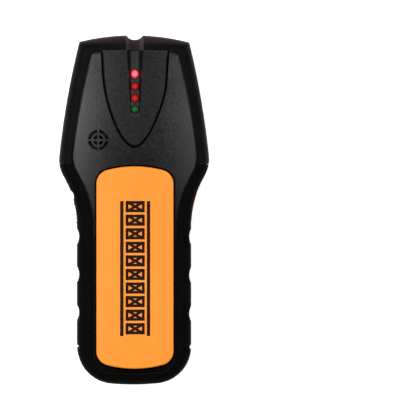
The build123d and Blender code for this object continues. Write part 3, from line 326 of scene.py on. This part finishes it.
def copper_wire(name):
    """Fine enamelled turns, drawn as close rings round the coil's axis."""
    s = Shader(name)
    s.bsdf.inputs["Metallic"].default_value = 1.0
    turns = s.add("ShaderNodeTexWave", wave_type="BANDS", bands_direction="Z")
    turns.inputs["Scale"].default_value = 900
    turns.inputs["Distortion"].default_value = 0.6
    s.link(s.coords, turns.inputs["Vector"])
    s.colour(s.ramp(turns.outputs["Fac"], [(0.1, (0.12, 0.03, 0.01)), (0.8, (0.6, 0.24, 0.10))]))
    s.rough(s.span(s.noise(0.6), 0.2, 0.4))
    s.bump([(turns.outputs["Fac"], 0.08, 0.6)])
    return s.material


def board_laminate(name):
    """Green solder mask over copper tracks."""
    s = Shader(name)
    tracks = s.add("ShaderNodeTexBrick")
    tracks.inputs["Scale"].default_value = 260
    tracks.inputs["Mortar Size"].default_value = 0.03
    tracks.inputs["Color1"].default_value = (0.012, 0.11, 0.04, 1)
    tracks.inputs["Color2"].default_value = (0.016, 0.14, 0.05, 1)
    tracks.inputs["Mortar"].default_value = (0.035, 0.22, 0.08, 1)
    s.link(s.coords, tracks.inputs["Vector"])
    s.colour(tracks.outputs["Color"])
    s.rough(s.span(s.noise(2), 0.2, 0.35))
    s.bump([(tracks.outputs["Fac"], 0.03, 0.4)])
    return s.material


def foam(name):
    """Dark foam with open pores."""
    s = Shader(name, specular=0.1)
    pores = s.cells(0.7)
    s.colour(s.ramp(pores, [(0.1, (0.012, 0.012, 0.013)), (0.6, (0.06, 0.06, 0.065))]))
    s.rough(s.span(pores, 0.85, 1.0, 0, 1))
    s.bump([(pores, 0.3, 0.7)])
    return s.material


def woven_mesh(name):
    """Fine black cloth behind the sounder's slots."""
    s = Shader(name, specular=0.2)
    weave = s.add("ShaderNodeTexChecker")
    weave.inputs["Scale"].default_value = 4000
    weave.inputs["Color1"].default_value = (0.004, 0.004, 0.004, 1)
    weave.inputs["Color2"].default_value = (0.012, 0.012, 0.012, 1)
    s.link(s.coords, weave.inputs["Vector"])
    s.colour(weave.outputs["Color"])
    s.rough(s.span(s.noise(0.4), 0.7, 0.9))
    s.bump([(weave.outputs["Fac"], 0.05, 0.5)])
    return s.material


def battery_jacket(name):
    """Painted steel jacket in two plain tones, split about a third of the way down."""
    s = Shader(name)
    low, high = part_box("battery")
    split = low.y + 0.68 * (high.y - low.y)
    side = s.math("GREATER_THAN", s.along("Y"), split)
    s.colour(s.ramp(side, [(0.0, (0.02, 0.022, 0.026)), (1.0, (0.45, 0.20, 0.05))]))
    s.rough(s.span(s.noise(3, detail=3), 0.25, 0.4))
    s.bsdf.inputs["Metallic"].default_value = 0.5
    s.bump([(s.noise(1.2), 0.02, 0.2)])
    return s.material


# ---- Which piece is made of what ----

def grey(value):
    return (value, value, value)


# The outside
assign(front_plastic("front_plastic"), "front_shell")
casing_plastic = textured_plastic(
    "casing_plastic", (0.004, 0.0038, 0.0038), (0.010, 0.0094, 0.0094), 0.36, 0.46, 0.9,
)
assign(casing_plastic, "rear_shell", "battery_door")
assign(tongue_plastic("tongue_plastic"), "sight_tongue")
assign(bumper_plastic("bumper_plastic"), "head_bumper")
assign(rubber("grip_rubber"), "grip_band")
assign(smooth_plastic("slider_plastic", grey(0.006), grey(0.012), 0.35, 0.5), "mode_slider")
assign(orange_plastic("orange_plastic", (0.85, 0.255, 0.021)), "face_panel")
assign(orange_plastic("button_orange", (0.75, 0.17, 0.02)), "power_button")
assign(ink("print_ink"), "panel_graphic")

# The lamps: the top one is lit, the other two red ones barely glow
RED_BODY = (0.26, 0.005, 0.005)
RED_CORE = (0.34, 0.010, 0.009)
LIT_BODY = (0.78, 0.045, 0.055)
LIT_CORE = (1.0, 0.19, 0.22)
GREEN_BODY = (0.005, 0.040, 0.011)
GREEN_CORE = (0.014, 0.080, 0.028)
for lamp_node in ("led_red_low", "led_red_mid"):
    assign(lamp(lamp_node + "_epoxy", lamp_node, RED_BODY, RED_CORE, 0.05), lamp_node)
assign(lamp("led_red_high_epoxy", "led_red_high", LIT_BODY, LIT_CORE, 0.42), "led_red_high")
assign(lamp("led_green_epoxy", "led_green", GREEN_BODY, GREEN_CORE, 0.0), "led_green")

# The inside
black_nylon = smooth_plastic("black_nylon", grey(0.01), grey(0.02), 0.4, 0.55)
assign(black_nylon, "led_holder", "buzzer", "power_switch_body", "mode_switch_lever", "battery_snap")
natural_nylon = smooth_plastic("natural_nylon", (0.60, 0.57, 0.50), (0.72, 0.69, 0.62), 0.4, 0.55)
assign(natural_nylon, "coil_bobbin", "power_switch_plunger")
assign(board_laminate("board_laminate"), "main_board")
assign(metal("screw_steel", (0.55, 0.55, 0.57), 0.25, 0.45), "board_screws", "shell_screws")
contact_metal = metal("contact_metal", (0.72, 0.71, 0.68), 0.18, 0.35)
assign(contact_metal, "trimmer_rotor", "crystal", "mode_switch_body", "battery_terminals", "snap_contacts")
chip_epoxy = textured_plastic("chip_epoxy", (0.012, 0.012, 0.013), (0.03, 0.03, 0.032), 0.5, 0.7, 0.2)
assign(chip_epoxy, "controller_chip", "amplifier_chip")
chip_ceramic = textured_plastic("chip_ceramic", (0.22, 0.15, 0.10), (0.38, 0.28, 0.19), 0.35, 0.5, 0.3)
assign(chip_ceramic, "board_chips")
trimmer_blue = smooth_plastic("trimmer_blue", (0.02, 0.09, 0.38), (0.03, 0.13, 0.48), 0.35, 0.5)
assign(trimmer_blue, "calibration_trimmer")
capacitor_sleeve = smooth_plastic("capacitor_sleeve", (0.012, 0.012, 0.06), (0.02, 0.02, 0.10), 0.2, 0.3)
assign(capacitor_sleeve, "electrolytic_capacitors")
assign(foam("closed_foam"), "buzzer_gasket", "door_foam")
assign(woven_mesh("mesh_cloth"), "grille_mesh")
assign(metal("copper_foil", (0.72, 0.34, 0.18), 0.25, 0.5), "sensor_plates")
assign(copper_wire("copper_wire"), "coil_winding")
assign(battery_jacket("battery_jacket"), "battery")
assign(smooth_plastic("lead_red", (0.4, 0.01, 0.01), (0.55, 0.02, 0.02), 0.35, 0.5), "battery_lead_red")
assign(smooth_plastic("lead_black", grey(0.01), grey(0.02), 0.35, 0.5), "battery_lead_black")


# ---- Floor ----

def pale_floor():
    """White paper under the tool, lit a little from below like a light table."""
    size = 3.0
    mesh = bpy.data.meshes.new("floor")
    corners = [(-size, -size, 0), (size, -size, 0), (size, size, 0), (-size, size, 0)]
    mesh.from_pydata(corners, [], [(0, 1, 2, 3)])
    floor = bpy.data.objects.new("floor", mesh)
    bpy.context.scene.collection.objects.link(floor)
    s = Shader("floor_paper", specular=0.1)
    s.colour(s.ramp(s.noise(40, detail=2), [(0.3, grey(0.93)), (0.7, grey(0.96))]))
    s.bsdf.inputs["Roughness"].default_value = 0.9
    s.bsdf.inputs["Emission Color"].default_value = (1, 1, 1, 1)
    s.bsdf.inputs["Emission Strength"].default_value = 0.55
    mesh.materials.append(s.material)


pale_floor()


# ---- Camera ----

def look_at(thing, target, up=Vector((0, 1, 0))):
    """Turns a camera or light so that its -Z axis points at the target."""
    back = (thing.location - target).normalized()
    right = up.cross(back).normalized()
    true_up = back.cross(right)
    matrix = thing.matrix_world.copy()
    for row in range(3):
        matrix[row][0] = right[row]
        matrix[row][1] = true_up[row]
        matrix[row][2] = back[row]
    thing.rotation_euler = matrix.to_euler()


FRONT_Z = 0.024
VIEW_SPAN = 0.1932         # width that the picture covers at the height of the object's front
CAMERA_HEIGHT = 1.0        # above the object's front
CAMERA_X = -0.043
AIM_X = 0.0346             # the object stands left of the picture's middle
SENSOR = 36.0              # millimetres, as the lens is

camera_data = bpy.data.cameras.new("camera")
camera_data.sensor_width = SENSOR
camera = bpy.data.objects.new("camera", camera_data)
bpy.context.scene.collection.objects.link(camera)
camera.location = (CAMERA_X, 0, FRONT_Z + CAMERA_HEIGHT)
aim = Vector((AIM_X, 0, FRONT_Z))
camera_data.lens = SENSOR * (camera.location - aim).length / VIEW_SPAN
look_at(camera, aim)
bpy.context.scene.camera = camera


# ---- Light ----

def softbox(name, location, size, power):
    """Rectangular lamp that points at the middle of the object's rear face."""
    data = bpy.data.lights.new(name, "AREA")
    data.shape = "RECTANGLE"
    data.size = size[0]
    data.size_y = size[1]
    data.energy = power
    light = bpy.data.objects.new(name, data)
    light.location = location
    bpy.context.scene.collection.objects.link(light)
    look_at(light, Vector((0, 0, 0)))


STRIP = (0.3, 0.9)
softbox("key", (-0.52, 0.10, 1.00), STRIP, 12)
softbox("fill", (0.58, 0.05, 0.98), STRIP, 6.0)
softbox("top", (0.0, 0.50, 1.05), (0.5, 0.3), 2)

world = bpy.data.worlds.new("studio")
world.use_nodes = True
background = world.node_tree.nodes["Background"]
background.inputs["Color"].default_value = (1, 1, 1, 1)
background.inputs["Strength"].default_value = 0.06
bpy.context.scene.world = world
bpy.context.scene.view_settings.view_transform = "Standard"
